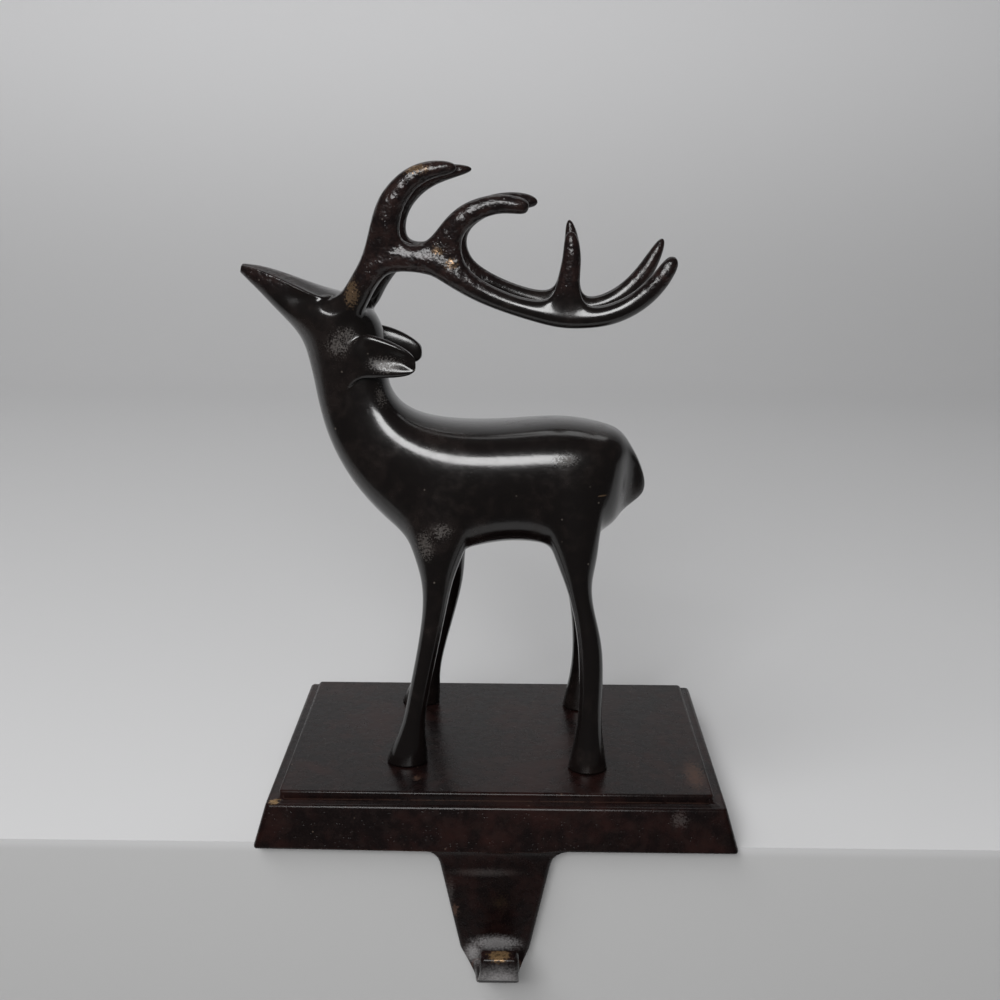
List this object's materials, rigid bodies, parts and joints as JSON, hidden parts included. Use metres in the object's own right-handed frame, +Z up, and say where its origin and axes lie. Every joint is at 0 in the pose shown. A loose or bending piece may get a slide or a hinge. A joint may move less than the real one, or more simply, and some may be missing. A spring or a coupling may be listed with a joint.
{
  "type": "stag stocking hanger",
  "caption": "Cast stag figure standing on a stepped, flared plinth whose front wall runs down into an up-curled hook for hanging a stocking from a shelf.",
  "frame": {"origin": "middle of the rear wall's underside, where the plinth sits on a shelf", "axes": "+Z up, -X where the stag looks, -Y to the front, where the hook hangs over the shelf's edge"},
  "size_m": [0.1442, 0.1024, 0.2309],
  "materials": {
    "dark_bronze_lacquer": "very dark brown glossy lacquer over cast metal, with paler rubs on the raised places",
    "mottled_bronze_lacquer": "dark reddish-brown mottled satin lacquer over cast metal, brassy on worn edges"
  },
  "bodies": {
    "root": {"stag": "dark_bronze_lacquer", "plinth_with_hook": "mottled_bronze_lacquer"}
  },
  "joints": []
}
